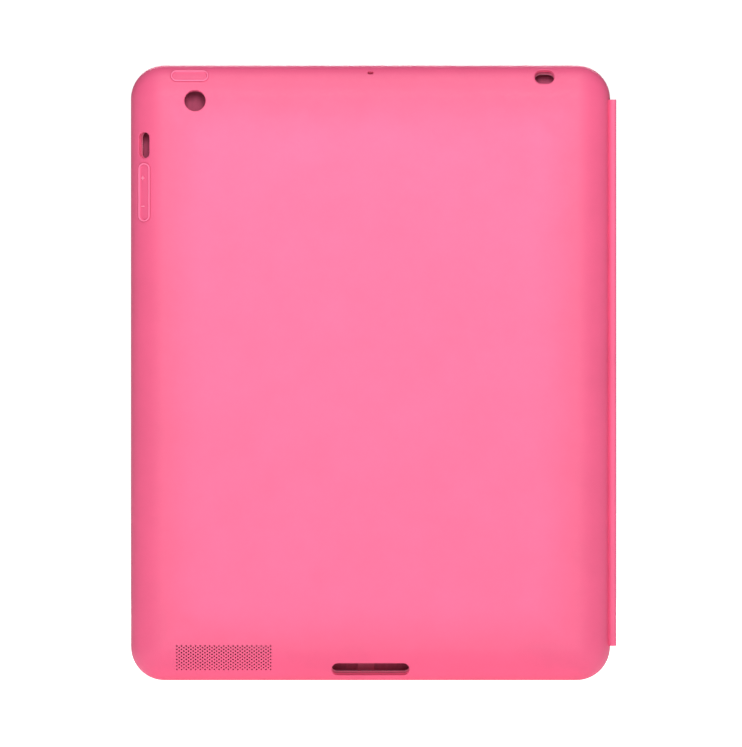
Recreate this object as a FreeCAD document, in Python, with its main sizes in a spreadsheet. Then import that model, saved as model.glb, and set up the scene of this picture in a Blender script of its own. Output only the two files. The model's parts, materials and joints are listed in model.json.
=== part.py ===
import FreeCAD, Part
import Sketcher
import math
import os
from FreeCAD import Rotation, Vector

# Folio case for a 9.7 inch tablet: a soft-touch back shell with pads, openings and a
# speaker grille, and a four-panel cover that hinges on a narrow spine strip.
#
# Frame: the case stands on its bottom edge. +X is to the right seen from behind, where
# the spine is, +Y points from the back shell towards the cover, +Z is up. The origin is
# the middle of the flat rim of the bottom edge.
# "Depth" below is the distance in front of the flat back face; "rise" is the height
# above the middle of the shell.

SIZES = [
    # back shell
    ("shell_width", 192.0),
    ("shell_height", 246.4),
    ("shell_depth", 12.9),
    ("stand_depth", 11.6),      # depth of the line that the case stands on
    ("corner_radius", 13.5),
    ("edge_radius", 8.9),       # tight arc next to the rim
    ("shoulder_radius", 17.0),  # gentle arc between the tight arc and the flat back
    ("flat_inset", 13.39),      # where the flat back begins, from the silhouette
    ("skin", 1.0),
    ("core", 1.1),
    ("felt", 0.4),
    ("lip", 0.9),
    ("lip_inset", 4.1),
    # openings
    ("pad_tilt", 30.0),         # from straight back, square to the flank
    ("opening_tilt", 12.0),
    ("tool_length", 9.0),
    ("camera_diameter", 8.4),
    ("camera_inset", 25.8),
    ("camera_drop", 14.4),
    ("jack_length", 7.8),
    ("jack_width", 5.9),
    ("jack_inset", 4.85),
    ("jack_x", 69.6),
    ("mic_length", 2.4),
    ("mic_width", 1.2),
    ("mic_inset", 3.2),
    ("dock_length", 31.0),
    ("dock_width", 5.3),
    ("dock_inset", 4.6),
    ("mute_length", 10.4),
    ("mute_width", 4.4),
    ("mute_inset", 5.5),
    ("mute_rise", 91.0),
    # speaker grille
    ("grille_x", -58.7),
    ("grille_rise", -114.0),
    ("grille_hole", 0.7),
    ("grille_pitch", 1.875),
    ("grille_row_pitch", 0.675),
    ("grille_window_width", 41.0),
    ("grille_window_height", 12.6),
    # moulded pads
    ("pad_gap", 0.3),
    ("pad_proud", 0.35),
    ("pad_dish", 0.1),
    ("pad_ridge", 0.9),
    ("sleep_length", 15.2),
    ("sleep_width", 5.4),
    ("sleep_inset", 4.4),
    ("sleep_x", -72.4),
    ("volume_length", 23.6),
    ("volume_width", 5.4),
    ("volume_inset", 5.45),
    ("volume_rise", 72.2),
    ("membrane_start", 0.4),
    ("membrane_end", 0.75),
    # cover
    ("cover_gap", 0.2),
    ("cover_height", 241.8),
    ("lining", 0.4),
    ("board", 1.0),
    ("cover_skin", 0.9),
    ("hem", 1.5),
    ("fold_gap", 4.0),
    ("web", 1.2),
    ("pitch_one", 49.6),        # fold line to fold line
    ("pitch_two", 49.8),
    ("pitch_three", 46.8),
    ("pitch_four", 45.2),
    ("free_corner", 12.0),
    ("hinge_corner", 11.3),
    # spine
    ("hinge_x", 97.65),         # cover hinge axis
    ("spine_height", 218.8),
    ("spine_inner", 97.0),
    ("spine_outer", 98.4),
    ("spine_start", 7.4),
    ("spine_end", 12.5),
    ("spine_skin", 0.6),
    ("spine_board", 0.5),
    ("spine_margin", 0.8),
    ("flange_start", 6.0),
    ("flange_end", 7.0),
    ("flange_root", 93.5),
    ("flange_web", 1.2),
    # magnets and keeper strip
    ("magnet_thickness", 0.9),
    ("closure_length", 14.0),
    ("closure_width", 4.0),
    ("closure_pitch", 80.0),
    ("closure_edge", 6.0),
    ("stand_length", 24.0),
    ("stand_width", 5.0),
    ("stand_pitch", 110.0),
    ("sleep_magnet", 8.0),
    ("sleep_magnet_rise", 62.0),
    ("keeper_length", 170.0),
    ("keeper_width", 8.0),
]

PANELS = ("one", "two", "three", "four")
# depth of the centre line of the tight edge arc
EDGE_CENTRE = (
    "(Sizes.shoulder_radius - sqrt((Sizes.shoulder_radius - Sizes.edge_radius)^2"
    " - (Sizes.flat_inset - Sizes.edge_radius)^2))"
)
COVER_START = "(Sizes.shell_depth + Sizes.cover_gap)"
BOARD_START = "(Sizes.shell_depth + Sizes.cover_gap + Sizes.lining)"

doc = FreeCAD.newDocument("tablet_case")
nodes = []


def make_sheet():
    """The driving dimensions, in millimetres and degrees."""
    sheet = doc.addObject("Spreadsheet::Sheet", "Sizes")
    for row, (alias, value) in enumerate(SIZES, start=1):
        sheet.set(f"A{row}", alias)
        sheet.set(f"B{row}", str(value))
        sheet.setAlias(f"B{row}", alias)
    doc.recompute()
    return sheet


def number(expression):
    """The value that an expression on the sheet has now."""
    result = sheet.evalExpression(expression)
    return float(getattr(result, "Value", result))


def node(obj, name):
    """Names an object as one of the case's own pieces."""
    obj.Label = name
    nodes.append(obj)
    return obj


def place(obj, x="0", depth="0", rise="0", turn=None):
    """Puts an object at a depth in front of the back and a rise above the middle."""
    if turn:
        obj.Placement.Rotation = turn
    obj.setExpression("Placement.Base.x", x)
    obj.setExpression("Placement.Base.y", f"{depth} - Sizes.stand_depth")
    obj.setExpression("Placement.Base.z", f"{rise} + Sizes.shell_height / 2")
    return obj


def new_body(name):
    return doc.addObject("PartDesign::Body", name)


def origin_plane(body, role):
    return next(o for o in body.Origin.OriginFeatures if o.Role == role)


def new_sketch(body, role):
    """A sketch on one of its body's origin planes."""
    sketch = body.newObject("Sketcher::SketchObject", body.Name + "_outline")
    sketch.AttachmentSupport = [(origin_plane(body, role), "")]
    sketch.MapMode = "FlatFace"
    return sketch


def size(sketch, name, kind, where, expression):
    """A named dimension of a sketch, bound to the sheet."""
    value = number(expression)
    index = sketch.addConstraint(Sketcher.Constraint(kind, *where, value))
    sketch.renameConstraint(index, name)
    sketch.setExpression("Constraints." + name, expression)


def pad(body, sketch, length, both_ways=False, reverse=False):
    feature = body.newObject("PartDesign::Pad", body.Name + "_pad")
    feature.Profile = sketch
    feature.setExpression("Length", length)
    feature.Midplane = both_ways
    feature.Reversed = reverse
    body.Tip = feature
    return feature


def rectangle(body, role, width, height):
    """A rectangle about the sketch's origin."""
    sketch = new_sketch(body, role)
    x, y = number(width) / 2, number(height) / 2
    corners = [Vector(-x, -y), Vector(x, -y), Vector(x, y), Vector(-x, y)]
    for i in range(4):
        sketch.addGeometry(Part.LineSegment(corners[i], corners[(i + 1) % 4]), False)
    for i in range(4):
        sketch.addConstraint(Sketcher.Constraint("Coincident", i, 2, (i + 1) % 4, 1))
    for i in (0, 2):
        sketch.addConstraint(Sketcher.Constraint("Horizontal", i))
        sketch.addConstraint(Sketcher.Constraint("Vertical", i + 1))
    sketch.addConstraint(Sketcher.Constraint("Symmetric", 0, 1, 1, 2, -1, 1))
    size(sketch, "Width", "DistanceX", (0, 1, 0, 2), width)
    size(sketch, "Height", "DistanceY", (1, 1, 1, 2), height)
    return sketch


def stadium(body, role, length, width, upright):
    """A slot with round ends about the sketch's origin, along x or upright along y."""
    sketch = new_sketch(body, role)
    radius = number(width) / 2
    reach = number(length) / 2 - radius
    along = Vector(0, 1) if upright else Vector(1, 0)
    across = Vector(1, 0) if upright else Vector(0, -1)
    tips = [along * reach, along * -reach]
    start = math.atan2(across.y, across.x)
    arcs = [(tips[0], start), (tips[1], start + math.pi)]
    for centre, angle in arcs:
        circle = Part.Circle(centre, Vector(0, 0, 1), radius)
        sketch.addGeometry(Part.ArcOfCircle(circle, angle, angle + math.pi), False)
    for side, (first, last) in ((-1, (0, 1)), (1, (1, 0))):
        shift = across * radius * side
        sketch.addGeometry(Part.LineSegment(tips[first] + shift, tips[last] + shift), False)
    for arc, line in ((0, 2), (1, 3)):
        following = 1 - arc
        sketch.addConstraint(Sketcher.Constraint("Tangent", arc, 2, line, 1))
        sketch.addConstraint(Sketcher.Constraint("Tangent", line, 2, following, 1))
    sketch.addConstraint(Sketcher.Constraint("Equal", 0, 1))
    sketch.addConstraint(Sketcher.Constraint("Symmetric", 0, 3, 1, 3, -1, 1))
    sketch.addConstraint(Sketcher.Constraint("Vertical" if upright else "Horizontal", 2))
    size(sketch, "Radius", "Radius", (0,), f"({width}) / 2")
    size(sketch, "Reach", "Distance", (0, 3, 1, 3), f"({length}) - ({width})")
    return sketch


def plate(name, width, height, thickness, round_side=0, radius=None):
    """A flat plate from depth 0 forwards. Its two corners at +X or -X may be rounded."""
    body = new_body(name)
    base = pad(body, rectangle(body, "XZ_Plane", width, height), thickness, reverse=True)
    if round_side:
        doc.recompute()
        fillet = body.newObject("PartDesign::Fillet", name + "_corners")
        fillet.Base = (base, corner_edges(base.Shape, round_side))
        fillet.setExpression("Radius", radius)
        body.Tip = fillet
    return body


def corner_edges(shape, side):
    """The names of the two edges along Y at the plate's +X or -X end."""
    reach = max(abs(v.X) for v in shape.Vertexes)
    names = []
    for i, edge in enumerate(shape.Edges, start=1):
        first, last = edge.Vertexes[0].Point, edge.Vertexes[-1].Point
        if abs(first.y - last.y) > 1e-3 and abs(first.x - side * reach) < 1e-3:
            names.append(f"Edge{i}")
    return names


def boolean(kind, name, base, tool):
    result = doc.addObject("Part::" + kind, name)
    result.Base = base
    result.Tool = tool
    return result


def cut_all(name, base, tools):
    """The base with several tools taken out of it one after the other."""
    result = base
    for i, tool in enumerate(tools, start=1):
        result = boolean("Cut", f"{name}_{i}", result, tool)
    return result


def edge_section(body, role, half_width, inset, front):
    """Half of the dish's section, from the sketch's y axis out to the rim wall.

    It runs along the flat back, the gentle arc, the tight arc, the rim wall and the
    front. An inset above nought gives the next layer in, with the same arc centres.
    """
    sketch = new_sketch(body, role)
    outer = number(f"{half_width} - {inset}")
    flat = number(f"{half_width} - Sizes.flat_inset")
    tight = number(f"Sizes.edge_radius - {inset}")
    gentle = number(f"Sizes.shoulder_radius - {inset}")
    back, rim, level = number(inset), number(front), number(EDGE_CENTRE)
    away = number("Sizes.flat_inset - Sizes.edge_radius")
    turn = math.asin(away / number("Sizes.shoulder_radius - Sizes.edge_radius"))
    down = -math.pi / 2
    up = Vector(0, 0, 1)
    gentle_circle = Part.Circle(Vector(flat, back + gentle), up, gentle)
    tight_circle = Part.Circle(Vector(outer - tight, level), up, tight)
    outline = [
        Part.LineSegment(Vector(0, back), Vector(flat, back)),
        Part.ArcOfCircle(gentle_circle, down, down + turn),
        Part.ArcOfCircle(tight_circle, down + turn, 0.0),
        Part.LineSegment(Vector(outer, level), Vector(outer, rim)),
        Part.LineSegment(Vector(outer, rim), Vector(0, rim)),
        Part.LineSegment(Vector(0, rim), Vector(0, back)),
    ]
    for geometry in outline:
        sketch.addGeometry(geometry, False)
    for i in range(3):
        sketch.addConstraint(Sketcher.Constraint("Tangent", i, 2, i + 1, 1))
    for i in range(3, 6):
        sketch.addConstraint(Sketcher.Constraint("Coincident", i, 2, (i + 1) % 6, 1))
    for i in (0, 4):
        sketch.addConstraint(Sketcher.Constraint("Horizontal", i))
    for i in (3, 5):
        sketch.addConstraint(Sketcher.Constraint("Vertical", i))
    sketch.addConstraint(Sketcher.Constraint("PointOnObject", 0, 1, -2))
    if inset == "0":
        sketch.addConstraint(Sketcher.Constraint("PointOnObject", 0, 2, -1))
    else:
        size(sketch, "Back", "DistanceY", (-1, 1, 0, 1), inset)
    size(sketch, "Rim", "DistanceY", (-1, 1, 3, 2), front)
    size(sketch, "Outer", "DistanceX", (-1, 1, 3, 2), f"{half_width} - {inset}")
    size(sketch, "Flat", "DistanceX", (-1, 1, 0, 2), f"{half_width} - Sizes.flat_inset")
    size(sketch, "Tight", "Radius", (2,), f"Sizes.edge_radius - {inset}")
    size(sketch, "Gentle", "Radius", (1,), f"Sizes.shoulder_radius - {inset}")
    return sketch


def dish(name, inset, front):
    """A solid of the shell's outer form, or of a layer inset from it.

    One quarter is two straight runs and a turned corner, and mirrors give the rest.
    """
    body = new_body(name)
    side = edge_section(body, "XY_Plane", "Sizes.shell_width / 2", inset, front)
    sides = pad(body, side, "Sizes.shell_height / 2 - Sizes.corner_radius", reverse=True)
    end = edge_section(body, "YZ_Plane", "Sizes.shell_height / 2", inset, front)
    end.AttachmentOffset.Rotation = Rotation(Vector(0, 0, 1), -90)
    ends = pad(body, end, "Sizes.shell_width / 2 - Sizes.corner_radius")
    corner = edge_section(body, "XY_Plane", "Sizes.corner_radius", inset, front)
    reach = "Sizes.shell_width / 2 - Sizes.corner_radius"
    drop = "Sizes.corner_radius - Sizes.shell_height / 2"
    corner.setExpression("AttachmentOffset.Base.x", reach)
    corner.setExpression("AttachmentOffset.Base.z", drop)
    turned = body.newObject("PartDesign::Revolution", name + "_corner")
    turned.Profile = corner
    turned.ReferenceAxis = (corner, ["V_Axis"])
    turned.Angle = 90
    body.Tip = turned
    mirrors = body.newObject("PartDesign::MultiTransform", name + "_mirrors")
    mirrors.Originals = [sides, ends, turned]
    steps = []
    for role in ("YZ_Plane", "XY_Plane"):
        mirror = body.newObject("PartDesign::Mirrored", f"{name}_{role[:2]}")
        mirror.MirrorPlane = (origin_plane(body, role), [""])
        steps.append(mirror)
    mirrors.Transformations = steps
    body.Tip = mirrors
    return place(body)


def flank_place(obj, where, along, inset, lean):
    """Stands a tool on the curved flank, leaning outwards, its middle on the surface."""
    reach = f"(Sizes.flat_inset - {inset})"
    depth = f"Sizes.shoulder_radius - sqrt(Sizes.shoulder_radius^2 - {reach}^2)"
    tilt = number(lean)
    if where == "left":
        turn = Rotation(Vector(0, 0, 1), -tilt)
        return place(obj, f"{inset} - Sizes.shell_width / 2", depth, along, turn)
    upper = where == "top"
    turn = Rotation(Vector(1, 0, 0), -tilt if upper else tilt)
    rise = f"Sizes.shell_height / 2 - {inset}"
    return place(obj, along, depth, rise if upper else f"-({rise})", turn)


def flank_tool(name, where, along, lean, inset, length, width):
    """A round-ended punch through the flank. It runs along the edge it is on."""
    body = new_body(name)
    outline = stadium(body, "XZ_Plane", length, width, upright=(where == "left"))
    pad(body, outline, "Sizes.tool_length", both_ways=True)
    return flank_place(body, where, along, inset, lean)


def opening_tools():
    """Punches for the camera, headphone, microphone, dock and mute switch openings."""
    camera = doc.addObject("Part::Cylinder", "camera_punch")
    camera.setExpression("Radius", "Sizes.camera_diameter / 2")
    camera.setExpression("Height", "Sizes.tool_length")
    place(
        camera,
        "Sizes.camera_inset - Sizes.shell_width / 2",
        "Sizes.tool_length / 2",
        "Sizes.shell_height / 2 - Sizes.camera_drop",
        Rotation(Vector(1, 0, 0), 90),
    )
    punches = [camera]
    for name, where, along in (
        ("jack", "top", "Sizes.jack_x"),
        ("mic", "top", "0"),
        ("dock", "bottom", "0"),
        ("mute", "left", "Sizes.mute_rise"),
    ):
        sizes = [f"Sizes.{name}_{what}" for what in ("inset", "length", "width")]
        tool = flank_tool(name + "_punch", where, along, "Sizes.opening_tilt", *sizes)
        punches.append(tool)
    return punches


def grille_pins():
    """One pin for each of the speaker grille's holes, in rows that step sideways."""
    rows = 15
    columns = 21
    pitch, row_pitch = number("Sizes.grille_pitch"), number("Sizes.grille_row_pitch")
    radius, length = number("Sizes.grille_hole / 2"), number("Sizes.tool_length")
    pins = []
    for row in range(rows):
        odd = row % 2
        for column in range(columns - odd):
            x = (column - (columns - 1) / 2 + odd / 2) * pitch
            z = (row - (rows - 1) / 2) * row_pitch
            start = Vector(x, -length / 2, z)
            pins.append(Part.makeCylinder(radius, length, start, Vector(0, 1, 0)))
    grid = doc.addObject("Part::Feature", "grille_pins")
    grid.Shape = Part.makeCompound(pins)
    return place(grid, "Sizes.grille_x", "2", "Sizes.grille_rise")


def grille_window(name):
    """A window behind the grille, in the layers under the skin."""
    body = new_body(name)
    width, height = "Sizes.grille_window_width", "Sizes.grille_window_height"
    pad(body, rectangle(body, "XZ_Plane", width, height), "Sizes.tool_length", both_ways=True)
    return place(body, "Sizes.grille_x", "2", "Sizes.grille_rise")


def moulded_pad(name, where, along, outlines):
    """A button pad moulded over the tablet's own button, with its slot and membrane.

    Its edge is a raised ridge and its middle is slightly hollow. It follows the flank's
    curve, one shell thickness deep.
    """
    length, width, inset = (f"Sizes.{name}_{what}" for what in ("length", "width", "inset"))

    def punch(tag, change):
        sizes = (f"({length} + {change})", f"({width} + {change})")
        return flank_tool(f"{name}_{tag}", where, along, "Sizes.pad_tilt", inset, *sizes)

    slot = punch("slot", "2 * Sizes.pad_gap")
    outside = punch("outside", "0")
    middle = punch("middle", "(-2 * Sizes.pad_ridge)")
    block = boolean("Common", name + "_block", outside, outlines["proud"])
    block = boolean("Cut", name + "_full", block, outlines["inside"])
    hollow = boolean("Cut", name + "_hollow", middle, outlines["hollow"])
    moving = boolean("Cut", name + "_pad", block, hollow)
    ring = boolean("Common", name + "_ring", slot, outlines["membrane_top"])
    ring = boolean("Cut", name + "_band", ring, outlines["membrane_foot"])
    membrane = boolean("Cut", name + "_membrane_body", ring, outside)
    return slot, moving, membrane


def build_shell():
    """The back shell's three layers, its hinge flange, its two pads and their membranes."""
    front = "(Sizes.shell_depth - Sizes.lip)"
    skin_outside = dish("skin_outside", "0", "Sizes.shell_depth")
    skin_inside = dish("skin_inside", "Sizes.skin", front)
    core_inside = dish("core_inside", "(Sizes.skin + Sizes.core)", front)
    felt_inside = dish("felt_inside", "(Sizes.skin + Sizes.core + Sizes.felt)", front)
    outlines = {
        "proud": dish("pad_outside", "(-1 * Sizes.pad_proud)", "Sizes.shell_depth"),
        "hollow": dish("pad_floor", "Sizes.pad_dish", "Sizes.shell_depth"),
        "inside": core_inside,
        "membrane_top": dish("membrane_top", "Sizes.membrane_start", front),
        "membrane_foot": dish("membrane_foot", "Sizes.membrane_end", front),
    }
    sleep = moulded_pad("sleep", "top", "Sizes.sleep_x", outlines)
    volume = moulded_pad("volume", "left", "Sizes.volume_rise", outlines)
    mouth = plate(
        "mouth",
        "Sizes.shell_width - 2 * Sizes.lip_inset",
        "Sizes.shell_height - 2 * Sizes.lip_inset",
        "Sizes.tool_length",
    )
    place(mouth, "0", "Sizes.shell_depth - 2 * Sizes.lip")
    openings = opening_tools() + [sleep[0], volume[0]]
    blank = boolean("Cut", "skin_blank", skin_outside, skin_inside)
    blank = cut_all("skin_open", blank, [mouth] + openings)
    node(boolean("Cut", "skin_drilled", blank, grille_pins()), "back_shell")
    core = boolean("Cut", "core_blank", skin_inside, core_inside)
    core = cut_all("core_open", core, openings + [grille_window("core_window")])
    node(core, "core_shell")
    felt = boolean("Cut", "felt_blank", core_inside, felt_inside)
    felt = cut_all("felt_open", felt, openings + [grille_window("felt_window")])
    node(felt, "back_lining")
    node(sleep[1], "sleep_button")
    node(sleep[2], "sleep_membrane")
    node(volume[1], "volume_rocker")
    node(volume[2], "volume_membrane")
    flange = strip("flange_blank", "flange_root", "spine_outer", "flange_start", "flange_end")
    node(boolean("Cut", "flange_body", flange, skin_outside), "hinge_flange")


def strip(name, left, right, start, end, height="Sizes.spine_height"):
    """A long upright strip of the spine, between two values of x and two depths."""
    box = doc.addObject("Part::Box", name)
    box.setExpression("Length", f"{spine_value(right)} - {spine_value(left)}")
    box.setExpression("Width", f"{spine_value(end)} - {spine_value(start)}")
    box.setExpression("Height", height)
    return place(box, spine_value(left), spine_value(start), f"-({height}) / 2")


def spine_value(value):
    return f"(Sizes.{value})" if value.isidentifier() else f"({value})"


def build_spine():
    """The spine strip's layers and the two webs that join it to the shell and cover."""
    skin_start = "Sizes.spine_outer - Sizes.spine_skin"
    board_start = "Sizes.spine_outer - Sizes.spine_skin - Sizes.spine_board"
    layers = (
        ("spine_skin", skin_start, "spine_outer"),
        ("spine_lining", "spine_inner", board_start),
    )
    for name, left, right in layers:
        node(strip(name + "_strip", left, right, "spine_start", "spine_end"), name)
    board = strip(
        "spine_board_strip",
        board_start,
        skin_start,
        "Sizes.spine_start + Sizes.spine_margin",
        "Sizes.spine_end - Sizes.spine_margin",
        "Sizes.spine_height - 2 * Sizes.spine_margin",
    )
    node(board, "spine_stiffener")
    web = strip(
        "flange_web_strip",
        "Sizes.spine_outer - Sizes.flange_web",
        "spine_outer",
        "flange_end",
        "spine_start",
    )
    node(web, "spine_web")
    edge = "(Sizes.hinge_x - Sizes.fold_gap / 2)"
    quarters = []
    for name, radius in (("outer", "spine_outer"), ("inner", "spine_inner")):
        quarter = doc.addObject("Part::Cylinder", name + "_quarter")
        quarter.setExpression("Radius", f"Sizes.{radius} - {edge}")
        quarter.setExpression("Height", "Sizes.spine_height")
        quarter.Angle = 90
        place(quarter, edge, "Sizes.spine_end", "-Sizes.spine_height / 2")
        quarters.append(quarter)
    node(boolean("Cut", "cover_web_bend", *quarters), "cover_web")


def magnet_group(name, width, length, rises, x, depth):
    """Flat magnets in one line, let into a panel's board."""
    magnets = []
    for i, rise in enumerate(rises, start=1):
        box = doc.addObject("Part::Box", f"{name}_{i}")
        box.setExpression("Length", width)
        box.setExpression("Width", "Sizes.magnet_thickness")
        box.setExpression("Height", length)
        place(box, f"{x} - {width} / 2", depth, f"{rise} - {length} / 2")
        magnets.append(box)
    group = doc.addObject("Part::Compound", name + "_group")
    group.Links = magnets
    return node(group, name)


def build_panel(index, left, right, inserts):
    """One stiff panel of the cover: lining, board with its inserts, and skin."""
    name = "panel_" + str(index)
    width = f"({right} - {left} - Sizes.fold_gap)"
    if index == 4:
        width = f"({right} - {left} - Sizes.fold_gap / 2)"
    middle = f"({right} - Sizes.fold_gap / 2 - {width} / 2)"
    side, corner = {1: (1, "hinge_corner"), 4: (-1, "free_corner")}.get(index, (0, None))
    outer = f"Sizes.{corner}"
    inner = f"(Sizes.{corner} - Sizes.hem)"
    thickness = "Sizes.board + Sizes.cover_skin"
    height = "Sizes.cover_height"
    lining = plate(name + "_lining_sheet", width, height, "Sizes.lining", side, outer)
    place(lining, middle, COVER_START)
    blank = plate(name + "_blank", width, height, thickness, side, outer)
    place(blank, middle, BOARD_START)
    board = plate(
        name + "_card",
        f"{width} - 2 * Sizes.hem",
        f"{height} - 2 * Sizes.hem",
        "Sizes.board",
        side,
        inner,
    )
    place(board, middle, BOARD_START)
    node(boolean("Cut", name + "_shell", blank, board), name + "_skin")
    node(cut_all(name + "_card_open", board, inserts), name + "_board")
    node(lining, name + "_lining")


def build_cover():
    """Four panels with webs at the three folds, magnets and a steel keeper strip."""
    pitches = [f"Sizes.pitch_{name}" for name in PANELS]
    lines = ["Sizes.hinge_x"]
    for pitch in pitches:
        lines.append(f"{lines[-1]} - {pitch}")
    lines = [f"({line})" for line in lines]
    free_edge = lines[4]
    closure = magnet_group(
        "closure_magnets",
        "Sizes.closure_width",
        "Sizes.closure_length",
        ["-Sizes.closure_pitch", "0", "Sizes.closure_pitch"],
        f"{free_edge} + Sizes.closure_edge",
        BOARD_START,
    )
    stand = magnet_group(
        "stand_magnets",
        "Sizes.stand_width",
        "Sizes.stand_length",
        ["-Sizes.stand_pitch / 2", "Sizes.stand_pitch / 2"],
        f"({lines[3]} - Sizes.pitch_four / 2)",
        BOARD_START,
    )
    wake = doc.addObject("Part::Cylinder", "wake_disc")
    wake.setExpression("Radius", "Sizes.sleep_magnet / 2")
    wake.setExpression("Height", "Sizes.magnet_thickness")
    place(
        wake,
        f"{free_edge} + 2 * Sizes.closure_edge",
        BOARD_START,
        "Sizes.sleep_magnet_rise",
        Rotation(Vector(1, 0, 0), -90),
    )
    node(wake, "wake_magnet")
    keeper = magnet_group(
        "keeper_strip",
        "Sizes.keeper_width",
        "Sizes.keeper_length",
        ["0"],
        "(Sizes.hinge_x - Sizes.pitch_one / 2)",
        BOARD_START,
    )
    inserts = {1: [keeper], 4: [closure, stand, wake]}
    for index in range(1, 5):
        build_panel(index, lines[index], lines[index - 1], inserts.get(index, []))
    for index in (1, 2, 3):
        web = plate(f"web_{index}", "Sizes.fold_gap", "Sizes.cover_height", "Sizes.web")
        node(place(web, lines[index], COVER_START), f"fold_web_{index}")


def check_and_export():
    """Stops on a failed object or a bad shape, then writes each piece to its own file."""
    doc.recompute()
    for obj in doc.Objects:
        if {"Invalid", "Error"} & set(obj.State):
            raise RuntimeError(f"{obj.Label} failed: {obj.State}")
    for obj in nodes:
        shape = obj.Shape
        if shape.isNull() or not shape.isValid() or not shape.Solids:
            raise RuntimeError(f"{obj.Label} has a bad shape")
        print(f"{obj.Label}: {len(shape.Solids)} solid(s), {shape.Volume:.1f} mm3")
    os.makedirs("parts", exist_ok=True)
    for obj in nodes:
        obj.Shape.exportStep(f"parts/{obj.Label}.step")


sheet = make_sheet()
build_shell()
build_spine()
build_cover()
check_and_export()
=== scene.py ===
"""Looks of the tablet case: a moulded back shell seen from behind, with a folio cover."""

import json
import math

import bmesh
import bpy
import numpy as np
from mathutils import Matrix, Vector
from mathutils.geometry import delaunay_2d_cdt

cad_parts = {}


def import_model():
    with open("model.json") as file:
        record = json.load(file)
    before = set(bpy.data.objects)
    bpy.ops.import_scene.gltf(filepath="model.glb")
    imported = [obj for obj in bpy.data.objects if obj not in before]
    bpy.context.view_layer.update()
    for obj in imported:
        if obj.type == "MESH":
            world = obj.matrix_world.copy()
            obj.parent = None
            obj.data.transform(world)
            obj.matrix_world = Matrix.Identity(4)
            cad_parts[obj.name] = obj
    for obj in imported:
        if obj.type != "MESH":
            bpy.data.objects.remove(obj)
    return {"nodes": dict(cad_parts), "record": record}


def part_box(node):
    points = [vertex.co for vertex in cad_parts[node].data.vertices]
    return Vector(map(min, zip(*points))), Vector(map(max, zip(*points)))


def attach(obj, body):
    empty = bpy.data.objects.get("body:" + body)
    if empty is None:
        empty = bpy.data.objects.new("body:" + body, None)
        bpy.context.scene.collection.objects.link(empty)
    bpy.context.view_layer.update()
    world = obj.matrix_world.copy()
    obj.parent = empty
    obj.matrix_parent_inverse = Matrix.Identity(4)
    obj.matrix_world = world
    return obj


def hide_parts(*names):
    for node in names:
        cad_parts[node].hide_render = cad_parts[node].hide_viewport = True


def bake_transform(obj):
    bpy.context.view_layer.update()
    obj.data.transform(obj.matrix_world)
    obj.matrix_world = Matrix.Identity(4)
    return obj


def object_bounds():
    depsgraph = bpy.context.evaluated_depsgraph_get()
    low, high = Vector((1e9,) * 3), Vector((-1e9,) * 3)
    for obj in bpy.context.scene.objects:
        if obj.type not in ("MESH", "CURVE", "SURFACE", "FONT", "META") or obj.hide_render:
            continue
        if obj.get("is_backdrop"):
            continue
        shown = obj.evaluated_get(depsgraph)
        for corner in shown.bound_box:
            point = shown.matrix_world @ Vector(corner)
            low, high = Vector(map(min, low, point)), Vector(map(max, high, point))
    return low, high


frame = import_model()
cad_low, cad_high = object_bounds()

MM = 0.001
shell_low, shell_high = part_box("back_shell")
HALF_W = (shell_high.x - shell_low.x) / 2 / MM
HALF_H = (shell_high.z - shell_low.z) / 2 / MM
STAND = -shell_low.y / MM  # depth of the plane y = 0
RIM = (shell_high.y - shell_low.y) / MM
MIDDLE = (shell_high.z + shell_low.z) / 2 / MM

# The shell's edge in section: a tight arc at the rim, a gentle arc, then the flat back.
CORNER = 13.5
TIGHT = 8.9
GENTLE = 17.0
FLAT = 13.39
LEVEL = GENTLE - math.sqrt((GENTLE - TIGHT) ** 2 - (FLAT - TIGHT) ** 2)
MEET = FLAT - GENTLE * (FLAT - TIGHT) / (GENTLE - TIGHT)
WALL = 2.6  # how deep the skin lines an opening
START = 0.3  # inset where the height field hands over to the rim's rings
STRAIGHT_W = HALF_W - CORNER
STRAIGHT_H = HALF_H - CORNER


def world(x, depth, rise):
    """Millimetres across, in front of the flat back and above the middle, in metres."""
    return np.stack([x, depth - STAND, rise + MIDDLE], axis=-1) * MM


def columns(x, depth, rise):
    """Points in millimetres from a column each of x, depth and height, or one depth for all."""
    return np.stack([x, np.broadcast_to(depth, np.shape(x)), rise], axis=-1)


def inset_of(x, rise):
    """Distance inwards from the rounded outline."""
    qx = np.abs(x) - STRAIGHT_W
    qz = np.abs(rise) - STRAIGHT_H
    outside = np.hypot(np.maximum(qx, 0), np.maximum(qz, 0))
    return CORNER - outside - np.minimum(np.maximum(qx, qz), 0)


def edge_depth(s):
    """Depth of the shell's surface at an inset."""
    gentle = GENTLE - np.sqrt(np.maximum(GENTLE**2 - np.clip(FLAT - s, 0, FLAT) ** 2, 0))
    tight = LEVEL - np.sqrt(np.maximum(TIGHT**2 - np.clip(TIGHT - s, 0, TIGHT) ** 2, 0))
    return np.where(s > MEET, gentle, tight)


def edge_tilt(s):
    """Angle of the surface from flat, in radians, at an inset."""
    gentle = np.arcsin(np.clip((FLAT - s) / GENTLE, 0, 1))
    tight = np.arcsin(np.clip((TIGHT - s) / TIGHT, 0, 1))
    return np.where(s > MEET, gentle, tight)


def smooth(t):
    """A soft step from 0 to 1."""
    t = np.clip(t, 0, 1)
    return t * t * (3 - 2 * t)


ARC_POINTS = 24  # round each end of a slot


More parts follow.
